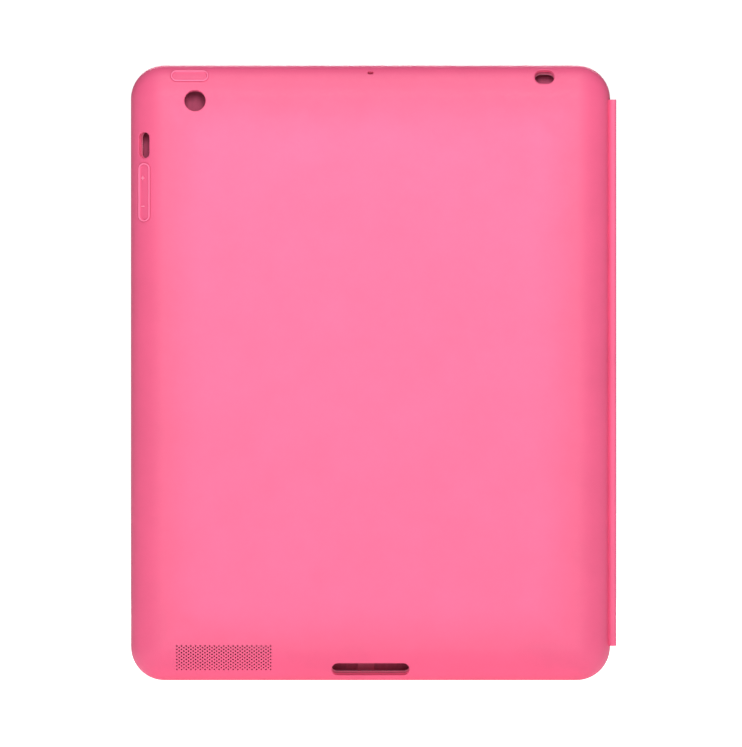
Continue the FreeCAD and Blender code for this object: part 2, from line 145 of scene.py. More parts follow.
class Slot:
    """A round-ended outline seen from straight behind, with what is cut or raised in it."""

    def __init__(self, name, x, rise, length, width, upright=False, rim=0.4, lean=12.0):
        self.name, self.x, self.rise = name, x, rise
        self.radius = width / 2
        self.reach = max(length / 2 - self.radius, 0.02)
        self.upright, self.rim, self.lean = upright, rim, lean

    def away(self, x, rise):
        """Distance outwards from the outline, negative inside it."""
        u, v = x - self.x, rise - self.rise
        if self.upright:
            u, v = v, u
        return np.hypot(np.maximum(np.abs(u) - self.reach, 0), v) - self.radius

    def loop(self, offset, count):
        """Points round the outline moved outwards by an offset."""
        radius = self.radius + offset
        ends = np.linspace(-math.pi / 2, math.pi / 2, ARC_POINTS)
        run = np.linspace(self.reach, -self.reach, count // 2 - ARC_POINTS + 2)[1:-1]
        u = np.concatenate([self.reach + radius * np.cos(ends), run])
        v = np.concatenate([radius * np.sin(ends), np.full(len(run), radius)])
        u, v = np.concatenate([u, -u]), np.concatenate([v, -v])
        if self.upright:
            u, v = -v, u
        return np.stack([u + self.x, v + self.rise], axis=-1)

    def inward(self):
        """Unit direction from the surface into the case, along the cut."""
        a = math.radians(self.lean)
        if self.upright:
            return np.array([math.sin(a) * (1 if self.x < 0 else -1), math.cos(a), 0.0])
        return np.array([0.0, math.cos(a), -math.sin(a) * (1 if self.rise > 0 else -1)])


def seen_width(width, inset, lean):
    """Width of a leaning cut as it shows from straight behind."""
    a = math.radians(lean)
    tilt = float(edge_tilt(np.array(inset)))
    return width * (math.cos(a) - math.tan(tilt - a) * math.sin(a))


def top(inset):
    """Height above the middle of a place at an inset from the top edge."""
    return HALF_H - inset


GAP = 0.13  # between a pad and the skin round it
camera_hole = Slot("camera", 25.8 - HALF_W, HALF_H - 14.4, 8.4, 8.4, rim=0.35, lean=0.0)
jack = Slot("jack", 69.6, top(4.85), 7.8, seen_width(5.9, 4.85, 12), rim=0.5)
mic = Slot("mic", 0.0, top(3.2), 2.4, seen_width(1.2, 3.2, 12), rim=0.2)
dock = Slot("dock", 0.0, -top(4.6), 31.0, seen_width(5.3, 4.6, 12), rim=0.5)
mute = Slot("mute", 5.5 - HALF_W, 91.0, 10.4, seen_width(4.4, 5.5, 12), upright=True, rim=0.4)
sleep_pad = Slot("sleep", -72.4, top(4.4), 15.2, seen_width(5.4, 4.4, 30), lean=30.0)
volume_pad = Slot(
    "volume", 5.45 - HALF_W, 72.2, 23.6, seen_width(5.4, 5.45, 30), upright=True, lean=30.0
)


def widened(slot, gap, rim):
    """The opening round a pad, wider than it by a gap."""
    return Slot(
        slot.name + "_slot",
        slot.x,
        slot.rise,
        2 * (slot.reach + slot.radius + gap),
        2 * (slot.radius + gap),
        slot.upright,
        rim,
        slot.lean,
    )


sleep_slot = widened(sleep_pad, GAP, 0.15)
volume_slot = widened(volume_pad, GAP, 0.15)
OPENINGS = [camera_hole, jack, mic, dock, mute, sleep_slot, volume_slot]

GRILLE_X, GRILLE_RISE = -58.7, -114.0
GRILLE_HOLE, GRILLE_STEP, GRILLE_ROW = 0.35, 1.875, 0.675  # radius and spacings
WINDOW = (GRILLE_X - 20.5, GRILLE_X + 20.5, GRILLE_RISE - 6.3, GRILLE_RISE + 6.3)


def grille_centres():
    """Places of the speaker grille's holes, in staggered rows."""
    centres = []
    for row in range(15):
        odd = row % 2
        for column in range(21 - odd):
            x = (column - 10 + odd / 2) * GRILLE_STEP
            centres.append((GRILLE_X + x, GRILLE_RISE + (row - 7) * GRILLE_ROW))
    return np.array(centres)


GRILLE = grille_centres()


def round_over(away, radius):
    """How far a rounded rim falls at a distance from the edge that it rounds."""
    left = np.clip(radius - away, 0, radius)
    return radius - np.sqrt(np.maximum(radius**2 - left**2, 0))


def shell_depth(x, rise, rims=True):
    """Depth of the back's surface, with the rounded rim of each opening."""
    depth = edge_depth(inset_of(x, rise))
    if rims:
        for slot in OPENINGS:
            depth = depth + round_over(slot.away(x, rise), slot.rim)
    return depth


def surface_normals(field, x, rise, step=0.004):
    """Unit normals, out of the back, of a height field."""
    slope_x = (field(x + step, rise) - field(x - step, rise)) / (2 * step)
    slope_z = (field(x, rise + step) - field(x, rise - step)) / (2 * step)
    normal = np.stack([slope_x, -np.ones_like(slope_x), slope_z], axis=-1)
    return normal / np.linalg.norm(normal, axis=-1, keepdims=True)


def outline(s, count_side, count_end, count_corner):
    """A closed loop at an inset: the sides, the ends and the rounded corners."""
    radius = CORNER - s
    points = []
    quarters = [
        (STRAIGHT_W, STRAIGHT_H, 0.0),
        (-STRAIGHT_W, STRAIGHT_H, 90.0),
        (-STRAIGHT_W, -STRAIGHT_H, 180.0),
        (STRAIGHT_W, -STRAIGHT_H, 270.0),
    ]
    turns = np.linspace(0, 90, count_corner)
    for i, (cx, cz, start) in enumerate(quarters):
        for turn in turns:
            a = math.radians(start + turn)
            points.append((cx + radius * math.cos(a), cz + radius * math.sin(a)))
        nx, nz = quarters[(i + 1) % 4][:2]
        run = count_end if i % 2 == 0 else count_side
        a = math.radians(start + 90)
        ox, oz = radius * math.cos(a), radius * math.sin(a)
        for k in range(1, run):
            t = k / run
            points.append((cx + (nx - cx) * t + ox, cz + (nz - cz) * t + oz))
    return np.array(points)


SIDE_RUNS, END_RUNS, CORNER_RUNS = 110, 84, 19  # points along the outermost loop
ROW_SIDE_RUNS, ROW_END_RUNS = 88, 66
EDGE_ROWS = (0.5, 0.8, 1.2, 1.7, 2.3, 3.0, 3.97, 5.0, 6.2, 7.6, 9.2, 11.0, 12.4, FLAT)
HOLE_ROWS = (0.0, 0.06, 0.18, 0.38, 0.65, 1.0, 1.6)  # shares of a hole's rim
GRID_STEP = 9.0  # across the flat middle
CLEAR = 0.3  # kept free of other points round the grille's window
PIN_SIDES = 8


def new_object(name, verts, faces):
    """A smooth-shaded mesh object in the scene."""
    mesh = bpy.data.meshes.new(name)
    mesh.from_pydata([tuple(v) for v in verts], [], [tuple(int(i) for i in f) for f in faces])
    mesh.update()
    return show_mesh(name, mesh)


def show_mesh(name, mesh):
    """Links a mesh to the scene, smooth-shaded."""
    mesh.polygons.foreach_set("use_smooth", [True] * len(mesh.polygons))
    obj = bpy.data.objects.new(name, mesh)
    bpy.context.scene.collection.objects.link(obj)
    return obj


def recalc(obj):
    """Makes every face of a closed mesh look outwards."""
    bm = bmesh.new()
    bm.from_mesh(obj.data)
    bmesh.ops.recalc_face_normals(bm, faces=bm.faces)
    bm.to_mesh(obj.data)
    bm.free()


def closed_object(name, points, polygons):
    """A closed mesh object from points in millimetres."""
    obj = new_object(name, world(*points.T), polygons)
    recalc(obj)
    return obj


def triangulate(holes, pierced):
    """Triangles of the back in plan, with dense rows near edges and round openings.

    The grille is a hole for each of its pins if pierced, and otherwise one window.
    """
    clouds, edges, loops = [], [], {}
    total = 0

    def add(points, closed=None):
        nonlocal total
        start = total
        clouds.append(points)
        total += len(points)
        if closed:
            ring = list(range(start, total))
            edges.extend(zip(ring, ring[1:] + ring[:1]))
            loops[closed] = ring

    add(outline(START, SIDE_RUNS, END_RUNS, CORNER_RUNS), "outer")
    for s in EDGE_ROWS:
        corner = max(3, int(CORNER_RUNS * (CORNER - s) / CORNER) + 2)
        add(outline(s, ROW_SIDE_RUNS, ROW_END_RUNS, corner))
    steps_x = np.arange(-HALF_W + 19, HALF_W - 18, GRID_STEP)
    steps_z = np.arange(-HALF_H + 19, HALF_H - 18, GRID_STEP)
    add(np.array([(x, z) for x in steps_x for z in steps_z]))
    features = []
    for hole in holes:
        count = ring_count(hole)
        for k, share in enumerate(HOLE_ROWS):
            features.append((total, total + count))
            add(hole.loop(hole.rim * share, count), hole.name if k == 0 else None)
    x0, x1, z0, z1 = WINDOW
    if pierced:
        angles = np.linspace(0, 2 * math.pi, PIN_SIDES + 1)[:-1]
        circle = np.stack([np.cos(angles), np.sin(angles)], axis=-1)
        for i, centre in enumerate(GRILLE):
            add(centre + circle * GRILLE_HOLE, f"pin_{i}")
    else:
        add(np.array([(x0, z0), (x1, z0), (x1, z1), (x0, z1)]), "window")
    points = np.concatenate(clouds)
    x, z = points[:, 0], points[:, 1]
    keep = ~((x > x0 - CLEAR) & (x < x1 + CLEAR) & (z > z0 - CLEAR) & (z < z1 + CLEAR))
    for hole in holes:
        keep &= ~(hole.away(x, z) < hole.rim * HOLE_ROWS[-1] + 0.25)
    for a, b in features:
        keep[a:b] = True
    for ring in loops.values():
        keep[ring] = True
    index = -np.ones(len(points), int)
    index[keep] = np.arange(keep.sum())
    edges = [(int(index[a]), int(index[b])) for a, b in edges]
    result = delaunay_2d_cdt([Vector(p) for p in points[keep]], edges, [], 0, 1e-5, True)
    flat = np.array([tuple(v) for v in result[0]])
    back = {old: new for new, olds in enumerate(result[3]) for old in olds}
    faces = np.array(result[2])
    centre = flat[faces].mean(axis=1)
    x, z = centre[:, 0], centre[:, 1]
    inside = inset_of(x, z) > START - 1e-4
    loops = {name: [back[int(index[i])] for i in ring] for name, ring in loops.items()}
    for hole in holes:  # a hole holds no points, so its triangles have all corners on its edge
        inside &= ~np.isin(faces, loops[hole.name]).all(axis=1)
    if pierced:
        near = ((np.abs(x - GRILLE_X) < 21) & (np.abs(z - GRILLE_RISE) < 6)).nonzero()[0]
        gaps = np.linalg.norm(centre[near][:, None, :] - GRILLE[None], axis=2).min(axis=1)
        inside[near[gaps < GRILLE_HOLE * 0.9]] = False
    else:
        inside &= ~((x > x0) & (x < x1) & (z > z0) & (z < z1))
    return flat, faces[inside], loops


def turn_faces(faces, flip):
    """The faces as tuples, each with its corners the other way round if flipped."""
    return [tuple(reversed(f)) if flip else tuple(f) for f in faces]


def band(lower, upper):
    """Quads between two closed rings of the same count."""
    n = len(lower)
    return [(lower[i], lower[(i + 1) % n], upper[(i + 1) % n], upper[i]) for i in range(n)]


def loft(name, rings, looped=False):
    """A closed mesh through rings of one count, capped at both ends or looped on itself."""
    count = len(rings[0])
    rows = [list(range(k * count, (k + 1) * count)) for k in range(len(rings))]
    following = rows[1:] + rows[:1] if looped else rows[1:]
    polygons = []
    for lower, upper in zip(rows, following):
        polygons += band(lower, upper)
    if not looped:
        polygons += [tuple(reversed(rows[0])), tuple(rows[-1])]
    return closed_object(name, np.concatenate(rings), polygons)


def signed_area(points):
    """Area of a loop, positive if it runs anticlockwise."""
    x, y = points[:, 0], points[:, 1]
    return 0.5 * np.sum(x * np.roll(y, -1) - y * np.roll(x, -1))


def rim_rows(top_depth, count=5):
    """(inset, depth, outward) pairs up the tight arc from the height field to the wall."""
    rows = []
    first = math.acos((TIGHT - START) / TIGHT)
    for k in range(1, count + 1):
        a = first * (1 - k / count)
        rows.append((TIGHT - TIGHT * math.cos(a), LEVEL - TIGHT * math.sin(a), math.pi / 2 - a))
    for depth in (11.0, 11.6, top_depth):
        rows.append((0.0, depth, math.pi / 2))
    return rows


def ring_points(s, base):
    """The outer loop's points moved to another inset."""
    straight = np.array([STRAIGHT_W, STRAIGHT_H])
    centre = np.clip(base, -straight, straight)
    away = base - centre
    away = away / np.linalg.norm(away, axis=1, keepdims=True)
    return centre + away * (CORNER - s), away


MOUTH, CROWN = 4.1, 0.35  # how far the lip reaches in, and how round its corners are
WALL_ROWS = (  # down an opening, out from it, and facing it (-1), the case (0) or away (1)
    (0.5, -0.04, -1),
    (WALL - 0.1, -0.04, -1),
    (WALL, 0.03, 0),
    (WALL - 0.1, 0.1, 1),
)


def lip_rows(top_depth):
    """(inset, depth, outward) rows over the rim and back under the lip."""
    foot = RIM - CROWN
    quarter = [math.radians(a) for a in (30, 60, 90)]
    rows = [(0.0, foot, math.pi / 2)]
    for r in quarter:
        inset, rise = CROWN - CROWN * math.cos(r), foot + CROWN * math.sin(r)
        rows.append((inset, rise, math.pi / 2 + r))
    rows.append((MOUTH - CROWN, RIM, math.pi))
    for r in quarter:
        inset, rise = MOUTH - CROWN + CROWN * math.sin(r), foot + CROWN * math.cos(r)
        rows.append((inset, rise, math.pi + r))
    rows.append((MOUTH, top_depth + 0.12, 1.5 * math.pi))
    rows.append((MOUTH - 0.1, top_depth, 1.9 * math.pi))
    return rows


def edge_rows(near, far, top_depth):
    """(inset, depth, outward) rows over the rounded edge of a layer that has no lip."""
    return [
        (near + 0.05, top_depth + 0.06, math.pi * 0.8),
        ((near + far) / 2, top_depth + 0.1, math.pi),
        (far - 0.05, top_depth + 0.06, math.pi * 1.2),
    ]


def dish_mesh(name, holes, near, far, top_depth, is_skin):
    """A closed moulded layer of the shell, between two offsets from its outer surface.

    The skin has the grille's holes, rounded rims and a lip over the shell's rim. A layer
    under it has a window behind the grille.
    """
    flat, faces, loops = triangulate(holes, is_skin)
    x, rise = flat[:, 0], flat[:, 1]

    def field(px, pz):
        return shell_depth(px, pz, is_skin)

    depth = field(x, rise)
    normal = surface_normals(field, x, rise)
    plain = surface_normals(lambda px, pz: shell_depth(px, pz, False), x, rise)
    if is_skin:
        for i in range(len(GRILLE)):
            depth[loops[f"pin_{i}"]] += 0.05
        for hole in holes:
            ring = loops[hole.name]
            push = hole.loop(1.0, len(ring)) - hole.loop(0.0, len(ring))
            push /= np.linalg.norm(push, axis=1, keepdims=True)
            mix = -columns(push[:, 0], 0.0, push[:, 1]) * 0.92 + plain[ring] * 0.4
            normal[ring] = mix / np.linalg.norm(mix, axis=1, keepdims=True)
    surface = columns(x, depth, rise)
    outer = surface - plain * near
    inner = columns(x, shell_depth(x, rise, False), rise) - plain * far
    base_ring = flat[loops["outer"]]
    count = len(outer)
    total = 2 * count
    verts, normals = [outer, inner], [normal, -plain]
    anticlockwise = signed_area(flat[faces[0]]) > 0
    polygons = turn_faces(faces.tolist(), not anticlockwise)
    polygons += turn_faces((faces + count).tolist(), anticlockwise)

    def add(points, directions):
        nonlocal total
        verts.append(points)
        normals.append(directions)
        ids = list(range(total, total + len(points)))
        total += len(points)
        return ids

    def add_row(s, d, out):
        pts, away = ring_points(s, base_ring)
        lean = away * math.sin(out)
        directions = columns(lean[:, 0], -math.cos(out), lean[:, 1])
        return add(columns(pts[:, 0], d, pts[:, 1]), directions)

    rows_outer, rows_inner = [loops["outer"]], [[i + count for i in loops["outer"]]]
    for s, d, out in rim_rows(top_depth):
        over, down = math.sin(out), math.cos(out)
        rows_outer.append(add_row(s + near * over, d + near * down, out))
        rows_inner.append(add_row(s + far * over, d + far * down, out + math.pi))
    for s, d, out in lip_rows(top_depth) if is_skin else edge_rows(near, far, top_depth):
        rows_outer.append(add_row(s, d, out))
    chain = rows_outer + list(reversed(rows_inner))
    for lower, upper in zip(chain, chain[1:]):
        polygons += band(lower, upper)
    cuts = {hole.name: hole for hole in holes}
    for key, ring in loops.items():
        if key == "outer":
            continue
        wall = [ring]
        if is_skin and key in cuts:
            inward = cuts[key].inward()
            push = cuts[key].loop(1.0, len(ring)) - cuts[key].loop(0.0, len(ring))
            side = columns(push[:, 0], 0.0, push[:, 1])
            for down, out, facing in WALL_ROWS:
                directions = side * facing if facing else np.tile(inward, (len(ring), 1))
                wall.append(add(surface[ring] + inward * down + side * out, directions))
        wall.append([i + count for i in ring])
        for lower, upper in zip(wall, wall[1:]):
            polygons += band(lower, upper)
    points = np.concatenate(verts)
    obj = closed_object(name, points, polygons)
    obj.data.normals_split_custom_set_from_vertices([tuple(n) for n in np.concatenate(normals)])
    # painted shade: the material darkens the skin towards the outline by each point's inset
    set_edge_shade_inset(obj, points)
    return obj


def set_value(obj, name, values):
    """A number for each point of a mesh, which its material reads."""
    layer = obj.data.attributes.new(name, "FLOAT", "POINT")
    layer.data.foreach_set("value", np.asarray(values, np.float32))


def set_edge_shade_inset(obj, points):
    """Each point's inset from the outline, by which painted shade darkens the skin's colour."""
    set_value(obj, "edge_shade_inset", inset_of(points[:, 0], points[:, 2]))


def ridge_highlight_share(e):
    """How much painted highlight lies on the ridge's crest at a distance in from the outline."""
    return float(smooth((e - 0.05) / 0.2) * (1 - smooth((e - 0.45) / 0.3)))


def ring_count(slot):
    """Points round a slot, an even number."""
    return 2 * (int(2 * slot.reach / 0.8) + ARC_POINTS)


def pad_profile(e):
    """Height of a pad's surface above the flank, from its outline inwards."""
    ridge = 0.32 - round_over(e, 0.26)
    return ridge - 0.62 * smooth((e - 0.45) / 0.5)


PAD_TRAVEL = 1.3  # length of a pad's side walls
PAD_INSETS = (0.0, 0.02, 0.06, 0.13, 0.22, 0.32, 0.42, 0.5, 0.58, 0.66)
PAD_INSETS += (0.74, 0.82, 0.9, 0.98, 1.1, 1.4, 2.0)


def flank_ring(slot, offset, count):
    """A ring round a slot, on the shell's surface."""
    loop = slot.loop(offset, count)
    return columns(loop[:, 0], shell_depth(loop[:, 0], loop[:, 1], False), loop[:, 1])


def pad_mesh(name, slot):
    """A moulded pad: a raised ridge round a slightly hollow middle, and its side walls."""
    insets = [e for e in PAD_INSETS if e < slot.radius - 0.12] + [slot.radius - 0.1]
    count = ring_count(slot)
    inward = slot.inward()
    rings = [flank_ring(slot, 0.0, count) + inward * PAD_TRAVEL]
    rings += [flank_ring(slot, -e, count) - inward * float(pad_profile(e)) for e in insets]
    obj = loft(name, rings)
    # painted shade by inset from the outline, as on the shell
    set_edge_shade_inset(obj, np.concatenate(rings))
    # painted highlight along the crest of the ridge
    set_value(obj, "ridge", np.repeat([0.0] + [ridge_highlight_share(e) for e in insets], count))
    return obj


def groove_mesh(name, slot):
    """The thin skin at the bottom of the gap round a pad."""
    section = [(-0.05, 0.26), (GAP / 4, 0.31), (GAP / 2, 0.33), (GAP * 0.75, 0.31)]
    section += [(GAP + 0.05, 0.26), (GAP + 0.05, 0.75), (-0.05, 0.75)]
    rings = []
    for out, down in section:
        ring = flank_ring(slot, out, ring_count(slot))
        ring[:, 1] += down
        rings.append(ring)
    obj = loft(name, rings, looped=True)
    # painted shade by inset from the outline, as on the shell
    set_edge_shade_inset(obj, np.concatenate(rings))
    return obj


def raised_bar(name, slot_x, rise, length, width, upright):
    """A small raised bar on the volume pad, following the flank's slope."""
    bm = bmesh.new()
    steps = 10
    grid = []
    half_l, half_w = length / 2, width / 2
    for i in range(steps + 1):
        for j in range(5):
            u = (i / steps * 2 - 1) * half_l
            v = (j / 4 * 2 - 1) * half_w
            fade = min(1.0, (half_l - abs(u)) / (half_w * 0.8) + 0.15)
            bulge = 0.2 * math.sqrt(max(0.0, 1 - (v / half_w) ** 2)) * min(1.0, fade)
            x, z = (slot_x + v, rise + u) if upright else (slot_x + u, rise + v)
            grid.append((x, bulge, z))
    pts = np.array(grid)
    floor = shell_depth(pts[:, 0], pts[:, 2], False) + 0.12
    upper = world(pts[:, 0], floor - 0.02 - pts[:, 1], pts[:, 2])
    lower = world(pts[:, 0], floor + 0.3, pts[:, 2])
    top_verts = [bm.verts.new(p) for p in upper]
    low_verts = [bm.verts.new(p) for p in lower]
    for i in range(steps):
        for j in range(4):
            a = i * 5 + j
            bm.faces.new([top_verts[a], top_verts[a + 1], top_verts[a + 6], top_verts[a + 5]])
            bm.faces.new([low_verts[a + 5], low_verts[a + 6], low_verts[a + 1], low_verts[a]])
    border = list(range(5))
    border += [i * 5 + 4 for i in range(1, steps + 1)]
    border += [steps * 5 + j for j in range(3, -1, -1)]
    border += [i * 5 for i in range(steps - 1, 0, -1)]
    for a, b in zip(border, border[1:] + border[:1]):
        bm.faces.new([top_verts[a], low_verts[a], low_verts[b], top_verts[b]])
    bmesh.ops.recalc_face_normals(bm, faces=bm.faces)
    mesh = bpy.data.meshes.new(name)
    bm.to_mesh(mesh)
    bm.free()
    return show_mesh(name, mesh)


def panel_loop(x0, x1, z0, z1, radii, s, straight, corner):
    """A rectangle's loop at an inset, each corner with its own radius."""
    corners = [
        (x1, z1, radii[0], 0.0),
        (x0, z1, radii[1], 90.0),
        (x0, z0, radii[2], 180.0),
        (x1, z0, radii[3], 270.0),
    ]
    signs = [(-1, -1), (1, -1), (1, 1), (-1, 1)]
    points = []
    for i, ((cx, cz, radius, start), (sx, sz)) in enumerate(zip(corners, signs)):
        mx, mz = cx + sx * radius, cz + sz * radius
        left = max(radius - s, 0.02)
        ox, oz = (mx, mz) if radius > s else (cx + sx * s, cz + sz * s)
        for turn in np.linspace(0, 90, corner):
            a = math.radians(start + turn)
            points.append((ox + left * math.cos(a), oz + left * math.sin(a)))
    full = []
    for i in range(4):
        run = points[i * corner : (i + 1) * corner]
        full += run
        (ax, az), (bx, bz) = run[-1], points[((i + 1) % 4) * corner]
        for k in range(1, straight):
            t = k / straight
            full.append((ax + (bx - ax) * t, az + (bz - az) * t))
    return np.array(full)


def slab(name, x0, x1, z0, z1, radii, section):
    """A closed sheet or panel: its section's (inset, depth) rows from one face to the other."""
    rings = []
    for s, depth in section:
        loop = panel_loop(x0, x1, z0, z1, radii, s, 24, 10)
        rings.append(columns(loop[:, 0], depth, loop[:, 1]))
    return keep_sharp(loft(name, rings))


PRISM_ROWS, PRISM_BEVEL = 36, 0.25


def prism(name, section, z0, z1):
    """A closed section in (x, depth), swept up the case, its two ends rounded."""
    bevel, slight_bevel = PRISM_BEVEL, PRISM_BEVEL * 0.3
    heights = np.concatenate(
        [[z0, z0 + slight_bevel, z0 + bevel]]
        + [np.linspace(z0 + bevel, z1 - bevel, PRISM_ROWS)[1:-1]]
        + [[z1 - bevel, z1 - slight_bevel, z1]]
    )
    pts = np.array(section)
    inner, slight = shrink(pts, bevel), shrink(pts, slight_bevel)
    last = len(heights) - 1
    rings = []
    for k, z in enumerate(heights):
        ring = inner if k in (0, last) else slight if k in (1, last - 1) else pts
        rings.append(np.column_stack([ring, np.full(len(pts), z - MIDDLE)]))
    return keep_sharp(loft(name, rings))


def shrink(points, amount):
    """A closed section moved inwards along its own normals."""
    ahead = np.roll(points, -1, axis=0) - points
    behind = points - np.roll(points, 1, axis=0)
    along = ahead / np.linalg.norm(ahead, axis=1, keepdims=True)
    along = along + behind / np.linalg.norm(behind, axis=1, keepdims=True)
    along /= np.maximum(np.linalg.norm(along, axis=1, keepdims=True), 1e-9)
    inward = np.stack([-along[:, 1], along[:, 0]], axis=-1)
    if signed_area(points) < 0:
        inward = -inward
    return points + inward * amount * 0.5


def keep_sharp(obj):
    """Smooth shading, but for edges sharper than 40 degrees."""
    obj.data.set_sharp_from_angle(angle=math.radians(40.0))
    return obj


# Materials ----------------------------------------------------------------------------

PINK = (0.93, 0.128, 0.282)
RIDGE_HIGHLIGHT = (0.95, 0.2, 0.37)  # painted highlight on the crest of a pad's ridge
EDGE_SHADE = (0.82, 0.76, 0.78)  # painted shade: multiplies the pink near the shell's edge
EDGE_SHADE_NEAR, EDGE_SHADE_FAR = 5.0, 34.0  # insets between which the painted shade fades out


def new_material(name):
    """A material, its node tree and its surface shader."""
    material = bpy.data.materials.new(name)
    material.use_nodes = True
    tree = material.node_tree
    return material, tree, tree.nodes["Principled BSDF"]


def node(tree, kind, **settings):
    """A new node, with its inputs or its own settings set by name."""
    made = tree.nodes.new(kind)
    for key, value in settings.items():
        if key in made.inputs:
            made.inputs[key].default_value = value
        else:
            setattr(made, key, value)
    return made


def link(tree, source, out, target, into):
    """Joins a named output to a named input."""
    tree.links.new(source.outputs[out], target.inputs[into])


def noise(tree, place, scale, detail=3.0, roughness=0.5):
    """Noise over the object's own coordinates, in metres."""
    made = node(tree, "ShaderNodeTexNoise", Scale=scale, Detail=detail, Roughness=roughness)
    link(tree, place, "Object", made, "Vector")
    return made


def ramp(tree, source, out, low, high, start, end):
    """A colour ramp between two colours."""
    made = node(tree, "ShaderNodeValToRGB")
    made.color_ramp.elements[0].position = start
    made.color_ramp.elements[1].position = end
    made.color_ramp.elements[0].color = (*low, 1)
    made.color_ramp.elements[1].color = (*high, 1)
    link(tree, source, out, made, "Fac")
    return made


def mottled(tree, source, colour, down, up, start=0.3, end=0.7):
    """A colour that wanders with a noise between two shares of itself."""
    low = tuple(c * down for c in colour)
    high = tuple(min(1.0, c * up) for c in colour)
    return ramp(tree, source, "Fac", low, high, start, end)


def roughen(tree, shader, source, low, high):
    """Roughness that wanders with a noise between two values."""
    rough = ramp(tree, source, "Fac", (low,) * 3, (high,) * 3, 0.3, 0.7)
    link(tree, rough, "Color", shader, "Roughness")


def add_bump(tree, shader, source, out, strength, distance):
    """Relief too fine to model."""
    bump = node(tree, "ShaderNodeBump", Strength=strength, Distance=distance)
    link(tree, source, out, bump, "Height")
    link(tree, bump, "Normal", shader, "Normal")


def streaks(tree, place, stretch, **settings):
    """Noise drawn out along the case's height."""
    mapping = node(tree, "ShaderNodeMapping", Scale=(1.0, 1.0, stretch))
    link(tree, place, "Object", mapping, "Vector")
    made = node(tree, "ShaderNodeTexNoise", **settings)
    link(tree, mapping, "Vector", made, "Vector")
    return made


def mixed(tree, kind, first, second, factor=None):
    """A colour mix of a socket with another socket, or with a plain colour."""
    mix = node(tree, "ShaderNodeMix", data_type="RGBA", blend_type=kind)
    mix.inputs[0].default_value = 1.0
    tree.links.new(first, mix.inputs[6])
    if isinstance(second, tuple):
        mix.inputs[7].default_value = (*second, 1)
    else:
        tree.links.new(second, mix.inputs[7])
    if factor:
        tree.links.new(factor, mix.inputs[0])
    return mix.outputs[2]


def soft_touch(name, colour, edge=None):
    """Soft-touch polyurethane: a very fine matte grain with faint mottling."""
    material, tree, shader = new_material(name)
    place = node(tree, "ShaderNodeTexCoord")
    mottle = noise(tree, place, 55.0, 4.0, 0.6)
    base = mottled(tree, mottle, colour, 0.965, 1.03)
    # painted shade: the pink darkens towards the shell's outline by each point's inset
    if edge:
        shade_inset = node(tree, "ShaderNodeAttribute", attribute_name="edge_shade_inset")
        spread = node(tree, "ShaderNodeMapRange", interpolation_type="SMOOTHERSTEP")
        spread.inputs["From Min"].default_value = EDGE_SHADE_NEAR
        spread.inputs["From Max"].default_value = EDGE_SHADE_FAR
        link(tree, shade_inset, "Fac", spread, "Value")
        shade = ramp(tree, spread, "Result", edge, (1, 1, 1), 0.0, 1.0)
        shaded = mixed(tree, "MULTIPLY", base.outputs["Color"], shade.outputs["Color"])
        # painted highlight on the crest of a pad's ridge
        crest_highlight = node(tree, "ShaderNodeAttribute", attribute_name="ridge")
        highlighted = mixed(tree, "MIX", shaded, RIDGE_HIGHLIGHT, crest_highlight.outputs["Fac"])
        tree.links.new(highlighted, shader.inputs["Base Color"])
    else:
        link(tree, base, "Color", shader, "Base Color")
    roughen(tree, shader, noise(tree, place, 900.0), 0.47, 0.58)
    cells = node(tree, "ShaderNodeTexVoronoi", feature="SMOOTH_F1", Scale=4200.0, Smoothness=0.6)
    link(tree, place, "Object", cells, "Vector")
    fine = noise(tree, place, 2600.0, 5.0, 0.65)
    add = node(tree, "ShaderNodeMath", operation="ADD")
    link(tree, cells, "Distance", add, 0)
    tree.links.new(fine.outputs["Fac"], add.inputs[1])
    add_bump(tree, shader, add, "Value", 0.09, 0.00006)
    shader.inputs["Specular IOR Level"].default_value = 0.5
    shader.inputs["Sheen Weight"].default_value = 0.06
    shader.inputs["Sheen Roughness"].default_value = 0.35
    return material


def microfibre(name, colour):
    """Brushed microfibre: a short nap with directional streaks and a soft sheen."""
    material, tree, shader = new_material(name)
    place = node(tree, "ShaderNodeTexCoord")
    nap = streaks(tree, place, 0.35, Scale=520.0, Detail=6.0, Roughness=0.7)
    base = mottled(tree, nap, colour, 0.9, 1.08, 0.32, 0.68)
    link(tree, base, "Color", shader, "Base Color")
    fibre = noise(tree, place, 3800.0, 6.0, 0.7)
    roughen(tree, shader, fibre, 0.86, 0.97)
    add_bump(tree, shader, fibre, "Fac", 0.55, 0.00012)
    shader.inputs["Sheen Weight"].default_value = 0.35
    shader.inputs["Sheen Roughness"].default_value = 0.5
    return material


def hard(name, colour, rough, metallic, scale, streak=1.0):
    """Moulded plastic, fibre board, plated magnet or strip steel, hidden in the layers."""
    material, tree, shader = new_material(name)
    place = node(tree, "ShaderNodeTexCoord")
    grain = streaks(tree, place, streak, Scale=scale, Detail=4.0)
    link(tree, mottled(tree, grain, colour, 0.9, 1.08), "Color", shader, "Base Color")
    roughen(tree, shader, grain, rough * 0.85, min(1.0, rough * 1.15))
    add_bump(tree, shader, grain, "Fac", 0.12, 0.00008)
    shader.inputs["Metallic"].default_value = metallic
    return material


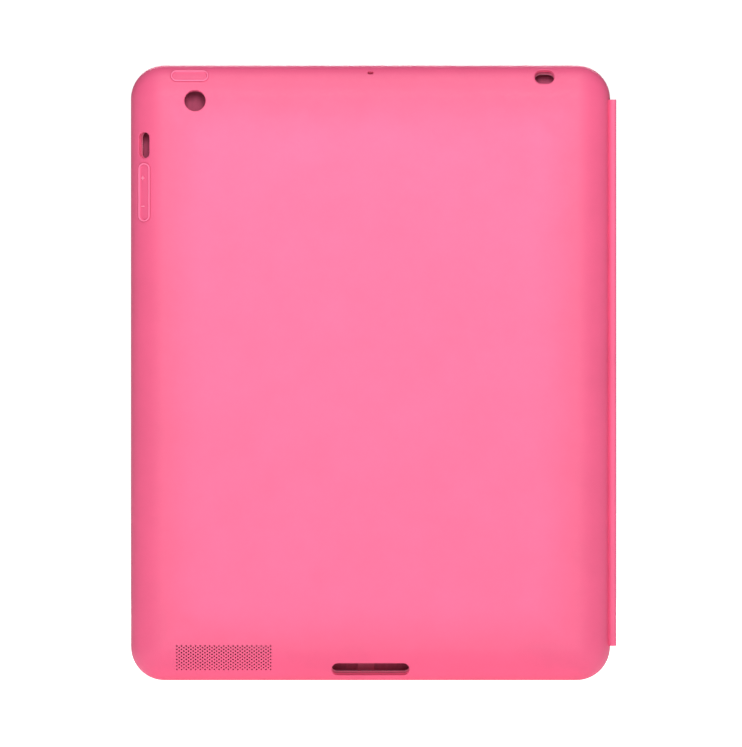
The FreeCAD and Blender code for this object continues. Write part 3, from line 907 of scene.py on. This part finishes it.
# the shell's skin: painted shade near the outline and a painted highlight on pad ridges
skin_painted_shade_highlight = soft_touch("soft_touch_shell", PINK, EDGE_SHADE)
skin = soft_touch("soft_touch_skin", PINK)
skin_light = soft_touch("soft_touch_mark", (0.97, 0.30, 0.47))
lining = microfibre("microfibre_pink", (0.74, 0.115, 0.235))
MATERIALS = {
    "rigid_core": hard("core_plastic", (0.42, 0.085, 0.16), 0.5, 0.0, 700.0),
    "card": hard("fibre_board", (0.07, 0.07, 0.075), 0.75, 0.0, 500.0),
    "magnet": hard("plated_magnet", (0.62, 0.62, 0.64), 0.22, 1.0, 900.0),
    "steel": hard("strip_steel", (0.52, 0.52, 0.54), 0.34, 1.0, 900.0, 0.04),
    "soft_skin": skin,
    "microfibre": lining,
}
for part in frame["record"]["subparts"]:
    mesh = frame["nodes"][part["node"]].data
    mesh.materials.clear()
    mesh.materials.append(MATERIALS[part["material_slot"]])


def dress(obj, material, body=None, stands_for=()):
    """A piece's material, slot, body and the nodes that it stands for."""
    obj.data.materials.clear()
    obj.data.materials.append(material)
    if stands_for:
        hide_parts(*stands_for)
    if body:
        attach(obj, body)
    return obj


# Back shell -----------------------------------------------------------------------------

shell = dish_mesh("shell_skin", OPENINGS, 0.0, 0.95, 12.0, is_skin=True)
dress(shell, skin_painted_shade_highlight, "shell", ["back_shell"])

bay = dish_mesh("bay_lining", OPENINGS, 2.1, 2.5, 11.8, is_skin=False)
dress(bay, lining, "shell", ["back_lining"])

sleep_cap = pad_mesh("sleep_cap", sleep_pad)
dress(sleep_cap, skin_painted_shade_highlight, "sleep_pad", ["sleep_button"])
volume_cap = pad_mesh("volume_cap", volume_pad)
dress(volume_cap, skin_painted_shade_highlight, "volume_pad", ["volume_rocker"])
sleep_groove = groove_mesh("sleep_groove", sleep_pad)
dress(sleep_groove, skin_painted_shade_highlight, "shell", ["sleep_membrane"])
volume_groove = groove_mesh("volume_groove", volume_pad)
dress(volume_groove, skin_painted_shade_highlight, "shell", ["volume_membrane"])
MARK_X = 4.9 - HALF_W
marks = [
    raised_bar("mark_plus_upright", MARK_X, 77.9, 1.75, 0.4, True),
    raised_bar("mark_plus_across", MARK_X, 77.9, 1.35, 0.4, False),
    raised_bar("mark_minus", MARK_X, 66.6, 1.35, 0.4, False),
]
for mark in marks:
    dress(mark, skin_light, "volume_pad")

# Spine ------------------------------------------------------------------------------------

SPINE_LOW, SPINE_HIGH = (v.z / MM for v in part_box("spine_skin"))
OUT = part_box("spine_skin")[1].x / MM


def arc(cx, cy, radius, start, end, count):
    """Points of an arc in section, between two angles in degrees."""
    return [
        (cx + radius * math.cos(math.radians(a)), cy + radius * math.sin(math.radians(a)))
        for a in np.linspace(start, end, count)
    ]


wrap_section = (
    [(94.2, 7.35), (94.2, 7.1), (95.2, 7.05), (95.5, 6.8), (95.85, 6.35), (96.4, 6.12)]
    + arc(OUT - 0.75, 6.8, 0.75, -90, 0, 6)
    + [(OUT, d) for d in np.linspace(6.95, 7.5, 8)]
    + [(OUT, d) for d in np.linspace(8.2, 12.6, 6)]
    + [(OUT - 0.62, 12.6)]
    + [(OUT - 0.62, d) for d in np.linspace(8.2, 7.5, 2)]
    + [(OUT - 1.15, d) for d in np.linspace(7.4, 6.95, 5)]
)
wrap = prism("spine_wrap", wrap_section, SPINE_LOW, SPINE_HIGH)
dress(wrap, skin_painted_shade_highlight, None, ["hinge_flange", "spine_web", "spine_skin"])
# one fixed inset, so the spine wrap takes an even share of the painted edge shade
set_value(wrap, "edge_shade_inset", np.full(len(wrap.data.vertices), 12.0))
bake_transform(wrap)

strip_section = (
    [(97.0, 7.75), (97.32, 7.6)]
    + [(97.32, d) for d in np.linspace(8.4, 11.8, 4)]
    + [(97.32, 12.45), (97.0, 12.3)]
    + [(96.97, d) for d in np.linspace(11.6, 8.4, 4)]
)
strip = prism("spine_lining_strip", strip_section, SPINE_LOW + 0.5, SPINE_HIGH - 0.5)
dress(strip, lining, "spine", ["spine_lining"])

BEND_X, BEND_D = 95.65, 12.5
bend_section = (
    [(98.38, 12.2)]
    + arc(BEND_X, BEND_D, 2.73, 0, 90, 12)
    + [(95.0, 15.2), (95.0, 13.95)]
    + arc(BEND_X, BEND_D, 1.37, 90, 0, 12)
    + [(97.02, 12.2)]
)
bend = prism("cover_bend", bend_section, SPINE_LOW, SPINE_HIGH)
dress(bend, skin, None, ["cover_web"])
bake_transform(bend)

# Cover --------------------------------------------------------------------------------------

FELT_INSET = 1.3  # a panel's lining stops this short of the panel's edge

for k in range(1, 5):
    low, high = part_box(f"panel_{k}_skin")
    x0, x1 = low.x / MM, high.x / MM
    z0, z1 = low.z / MM - MIDDLE, high.z / MM - MIDDLE
    hinge_side = 11.3 if k == 1 else 0.5
    free_side = 12.0 if k == 4 else 0.5
    radii = (hinge_side, free_side, free_side, hinge_side)
    section = [(2.2, 13.3), (1.2, 13.22), (0.45, 13.22), (0.14, 13.34), (0.0, 13.62), (0.0, 14.5)]
    for a in (15, 30, 45, 60, 75):
        r = math.radians(a)
        section.append((0.75 - 0.75 * math.cos(r), 14.5 + 0.72 * math.sin(r)))
    section += [(0.95, 15.25), (1.6, 15.31), (3.0, 15.36), (5.5, 15.39), (9.0, 15.4)]
    panel = slab(f"panel_{k}_cover", x0, x1, z0, z1, radii, section)
    dress(panel, skin, f"panel_{k}", [f"panel_{k}_skin"])
    inner_section = [(FELT_INSET, 13.34), (FELT_INSET, 13.2)]
    inner_section += [(1.36, 13.13), (1.55, 13.1), (2.4, 13.1)]
    felt = slab(f"panel_{k}_felt", x0, x1, z0, z1, radii, inner_section)
    dress(felt, lining, f"panel_{k}", [f"panel_{k}_lining"])

for k in range(1, 4):
    low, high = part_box(f"fold_web_{k}")
    middle = (low.x + high.x) / 2 / MM
    half = 2.75
    outer = [(middle + u, 14.22 + 0.1 * (u / half) ** 2) for u in np.linspace(half, -half, 15)]
    inner = [(middle + u, 13.16) for u in np.linspace(-half, half, 15)]
    web = prism(f"fold_{k}_skin", outer + inner, low.z / MM + 0.2, high.z / MM - 0.2)
    dress(web, skin, None, [f"fold_web_{k}"])
    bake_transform(web)

# Stage, lights and camera --------------------------------------------------------------------

scene = bpy.context.scene
scene.view_settings.view_transform = "Standard"

FLOOR_REACH, FLOOR_LEVEL = 6.0, -0.0004
floor_mesh = bpy.data.meshes.new("floor")
floor_corners = [
    (FLOOR_REACH * x, FLOOR_REACH * y, FLOOR_LEVEL) for x, y in ((-1, -1), (1, -1), (1, 1), (-1, 1))
]
floor_mesh.from_pydata(floor_corners, [], [(0, 1, 2, 3)])
floor = bpy.data.objects.new("floor", floor_mesh)
scene.collection.objects.link(floor)
material, tree, shader = new_material("pale_floor")
shader.inputs["Base Color"].default_value = (0.85, 0.85, 0.85, 1)
shader.inputs["Roughness"].default_value = 0.9
shader.inputs["Specular IOR Level"].default_value = 0.1
shader.inputs["Emission Color"].default_value = (1, 1, 1, 1)
seen = node(tree, "ShaderNodeLightPath")
glow = node(tree, "ShaderNodeMapRange")
glow.inputs["To Min"].default_value = 0.54
glow.inputs["To Max"].default_value = 1.0
link(tree, seen, "Is Camera Ray", glow, "Value")
link(tree, glow, "Result", shader, "Emission Strength")
floor_mesh.materials.append(material)
floor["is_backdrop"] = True

backdrop = bpy.data.worlds.new("studio")
scene.world = backdrop
backdrop.use_nodes = True
nodes, links = backdrop.node_tree.nodes, backdrop.node_tree.links
background = nodes["Background"]
background.inputs["Color"].default_value = (1, 1, 1, 1)
background.inputs["Strength"].default_value = 1.05
dim = nodes.new("ShaderNodeBackground")
dim.inputs["Color"].default_value = (1, 1, 1, 1)
dim.inputs["Strength"].default_value = 0.13
path = nodes.new("ShaderNodeLightPath")
choose = nodes.new("ShaderNodeMixShader")
links.new(path.outputs["Is Camera Ray"], choose.inputs["Fac"])
links.new(dim.outputs["Background"], choose.inputs[1])
links.new(background.outputs["Background"], choose.inputs[2])
links.new(choose.outputs["Shader"], nodes["World Output"].inputs["Surface"])


def softbox(name, place, aim, width, height, power):
    """A rectangular area light that the camera doesn't see."""
    light = bpy.data.lights.new(name, "AREA")
    light.shape = "RECTANGLE"
    light.size, light.size_y = width, height
    light.energy = power
    obj = bpy.data.objects.new(name, light)
    scene.collection.objects.link(obj)
    obj.location = place
    obj.rotation_euler = (Vector(aim) - Vector(place)).to_track_quat("-Z", "Y").to_euler()
    obj.visible_camera = False


CENTRE = Vector((0, 0, MIDDLE * MM))
TOP_EDGE = Vector((0, 0, cad_high[2]))
softbox("key", (0.0, -1.7, 0.62), CENTRE, 0.6, 0.5, 15.2)
softbox("front", (0.0, 1.5, 0.8), CENTRE, 0.9, 0.7, 17.0)
softbox("top", (0.0, -0.35, 0.7), TOP_EDGE, 0.45, 0.12, 1.72)

DISTANCE = 5.0  # from the camera to just behind the case's back
SENSOR = 36.0
FIELD = 0.2973  # width seen at that distance
camera_data = bpy.data.cameras.new("camera")
camera_data.sensor_fit = "HORIZONTAL"
camera_data.sensor_width = SENSOR
camera_data.lens = SENSOR * DISTANCE / FIELD
camera = bpy.data.objects.new("camera", camera_data)
scene.collection.objects.link(camera)
camera.location = (0.0002, -STAND * MM - DISTANCE + 0.01, 0.1229)
camera.rotation_euler = (math.pi / 2, 0, 0)
scene.camera = camera

low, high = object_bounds()
